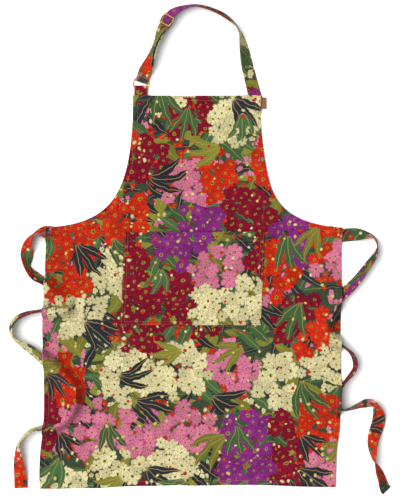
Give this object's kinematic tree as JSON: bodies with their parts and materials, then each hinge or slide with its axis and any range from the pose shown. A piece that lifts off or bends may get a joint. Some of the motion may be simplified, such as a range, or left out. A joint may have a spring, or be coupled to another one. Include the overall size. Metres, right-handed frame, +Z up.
{
  "type": "bib apron",
  "caption": "Bib apron laid flat face up, with a patch pocket, an adjustable neck strap on a ring and slider, and long waist ties that run beneath its sides.",
  "frame": {"origin": "on the table, in the middle of the whole piece's box", "axes": "+Z up from the table, through the apron's face; +Y from the hem to the neck strap; +X to the wearer's left, which is the right of the picture"},
  "size_m": [0.8786, 1.127, 0.0331],
  "materials": {
    "printed_cloth": "matt woven cloth with an all-over floral print in red, pink, cream, purple and green",
    "pale_brass": "polished pale brass",
    "label_tape": "matt woven tape, plain"
  },
  "bodies": {
    "root": {"body": "printed_cloth", "pocket": "printed_cloth", "left_tie": "printed_cloth", "right_tie": "printed_cloth", "neck_strap": "printed_cloth", "ring_tab": "printed_cloth", "strap_ring": "pale_brass", "strap_slider": "pale_brass", "side_label": "label_tape"}
  },
  "joints": []
}
